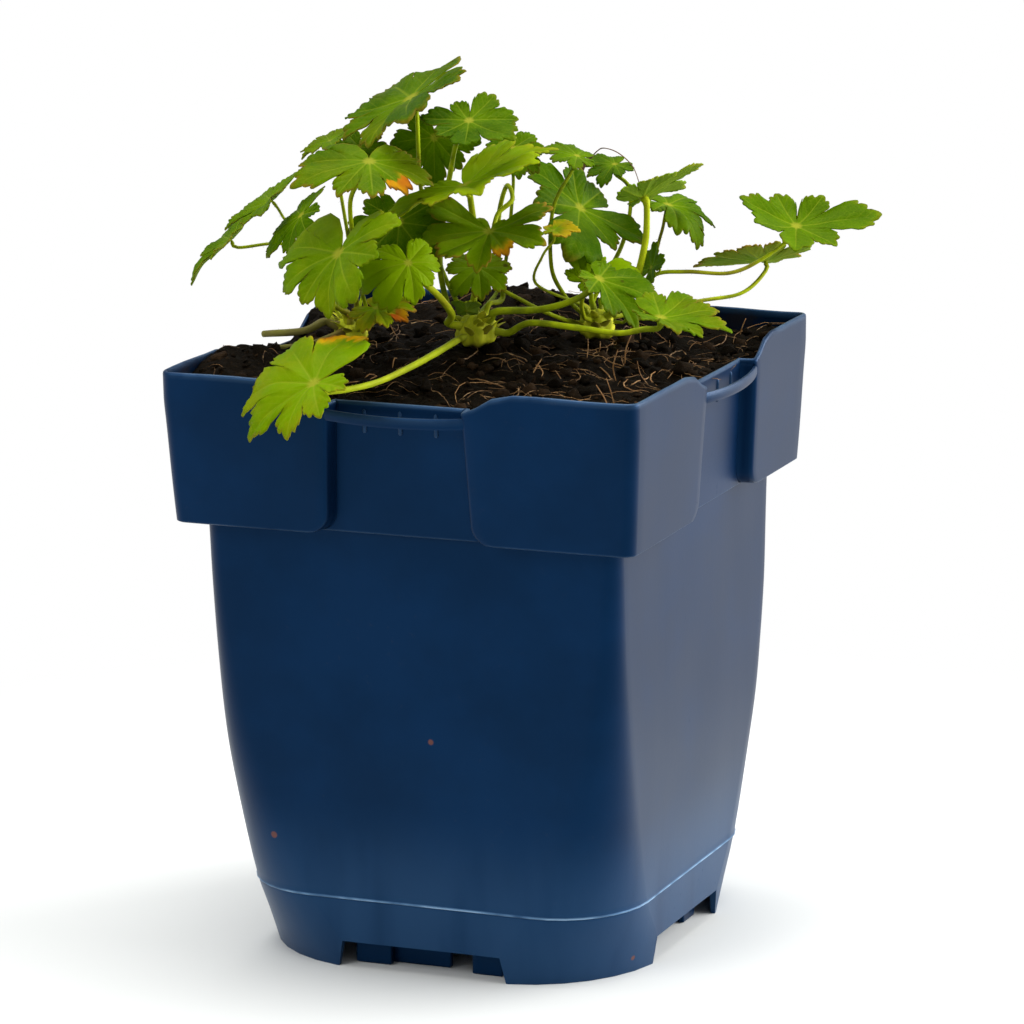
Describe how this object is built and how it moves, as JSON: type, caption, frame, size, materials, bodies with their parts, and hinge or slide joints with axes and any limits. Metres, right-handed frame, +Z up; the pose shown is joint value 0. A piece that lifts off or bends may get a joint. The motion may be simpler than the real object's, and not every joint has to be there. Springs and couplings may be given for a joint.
{
  "type": "potted hardy geranium",
  "caption": "Young hardy geranium with lobed green leaves on thin stalks, growing in dark soil in a square navy nursery pot with a stepped collar.",
  "frame": {"origin": "on the ground under the middle of the pot, which is also the middle of the whole object's outline to within a millimetre", "axes": "+Z up along the pot's axis, +Y from the front side of the pot to the back, +X to the right side"},
  "size_m": [0.1692, 0.1761, 0.2292],
  "materials": {
    "pot_plastic": "satin navy moulded plastic",
    "soil": "damp peat with coir fibres",
    "crown": "pale green plant tissue",
    "leaf_stalk": "yellow-green, finely hairy",
    "leaf_blade": "soft matt green leaf",
    "yellowed_leaf": "yellowed leaf"
  },
  "bodies": {
    "root": {"pot": "pot_plastic", "soil": "soil", "crown_middle": "crown", "crown_right": "crown", "crown_left": "crown", "leaf_top_left": "leaf_blade", "stalk_top_left": "leaf_stalk", "leaf_top": "leaf_blade", "stalk_top": "leaf_stalk", "leaf_upper_left_back": "leaf_blade", "stalk_upper_left_back": "leaf_stalk", "leaf_upper_left": "leaf_blade", "stalk_upper_left": "leaf_stalk", "leaf_far_left_high": "leaf_blade", "stalk_far_left_high": "leaf_stalk", "leaf_far_left_low": "leaf_blade", "stalk_far_left_low": "leaf_stalk", "leaf_left_back": "leaf_blade", "stalk_left_back": "leaf_stalk", "leaf_left": "leaf_blade", "stalk_left": "leaf_stalk", "leaf_middle_left": "leaf_blade", "stalk_middle_left": "leaf_stalk", "leaf_over_rim": "leaf_blade", "stalk_over_rim": "leaf_stalk", "leaf_low_left": "leaf_blade", "stalk_low_left": "leaf_stalk", "leaf_upper_middle": "leaf_blade", "stalk_upper_middle": "leaf_stalk", "leaf_upper_middle_back": "leaf_blade", "stalk_upper_middle_back": "leaf_stalk", "leaf_middle": "leaf_blade", "stalk_middle": "leaf_stalk", "leaf_low_middle": "leaf_blade", "stalk_low_middle": "leaf_stalk", "leaf_young": "leaf_blade", "leaf_middle_right": "leaf_blade", "stalk_middle_right": "leaf_stalk", "leaf_upper_right_back": "leaf_blade", "stalk_upper_right_back": "leaf_stalk", "leaf_right_folded": "leaf_blade", "stalk_right_folded": "leaf_stalk", "leaf_right_drooping": "leaf_blade", "stalk_right_drooping": "leaf_stalk", "leaf_right_small": "leaf_blade", "stalk_right_small": "leaf_stalk", "leaf_far_right": "leaf_blade", "stalk_far_right": "leaf_stalk", "leaf_far_right_low": "leaf_blade", "stalk_far_right_low": "leaf_stalk", "leaf_low_right_folded": "leaf_blade", "stalk_low_right_folded": "leaf_stalk", "leaf_low_right": "leaf_blade", "stalk_low_right": "leaf_stalk", "leaf_front_right": "leaf_blade", "stalk_front_right": "leaf_stalk", "leaf_yellowed": "yellowed_leaf", "stalk_yellowed": "leaf_stalk", "stalk_old_long": "leaf_stalk", "stalk_old_short": "leaf_stalk"}
  },
  "joints": []
}
